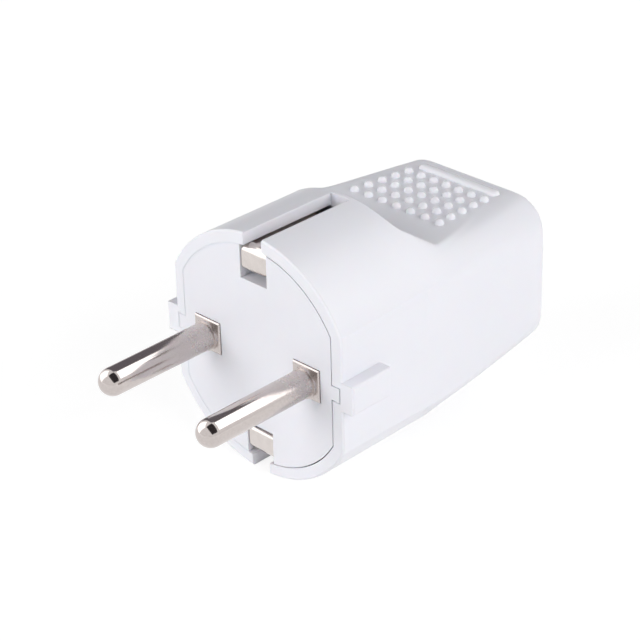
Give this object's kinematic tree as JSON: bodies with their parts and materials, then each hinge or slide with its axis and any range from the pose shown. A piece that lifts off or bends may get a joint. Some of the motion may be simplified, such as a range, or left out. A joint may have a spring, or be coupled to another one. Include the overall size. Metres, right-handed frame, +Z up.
{
  "type": "earthed power plug",
  "caption": "Straight white mains plug with round pins, side earth contacts, a scooped grip with raised dots and a cord entry in the rear wall.",
  "frame": {"origin": "middle of the front face, on the axis between the two pins", "axes": "+Y from the front face to the rear, where the cord enters; +X right seen from the front; +Z up, through the upper earth contact"},
  "size_m": [0.0358, 0.0645, 0.0362],
  "materials": {
    "shell_plastic": "satin moulded",
    "carrier_plastic": "satin moulded",
    "contact_metal": "nickel plated, polished",
    "earth_metal": "nickel plated strip",
    "screw_steel": "zinc plated"
  },
  "bodies": {
    "root": {"housing": "shell_plastic", "pin_carrier": "carrier_plastic", "left_pin": "contact_metal", "right_pin": "contact_metal", "left_terminal_screw": "screw_steel", "right_terminal_screw": "screw_steel", "earth_bracket": "earth_metal", "earth_washer": "screw_steel", "earth_screw": "screw_steel", "cord_clamp": "carrier_plastic", "left_clamp_screw": "screw_steel", "right_clamp_screw": "screw_steel"}
  },
  "joints": []
}
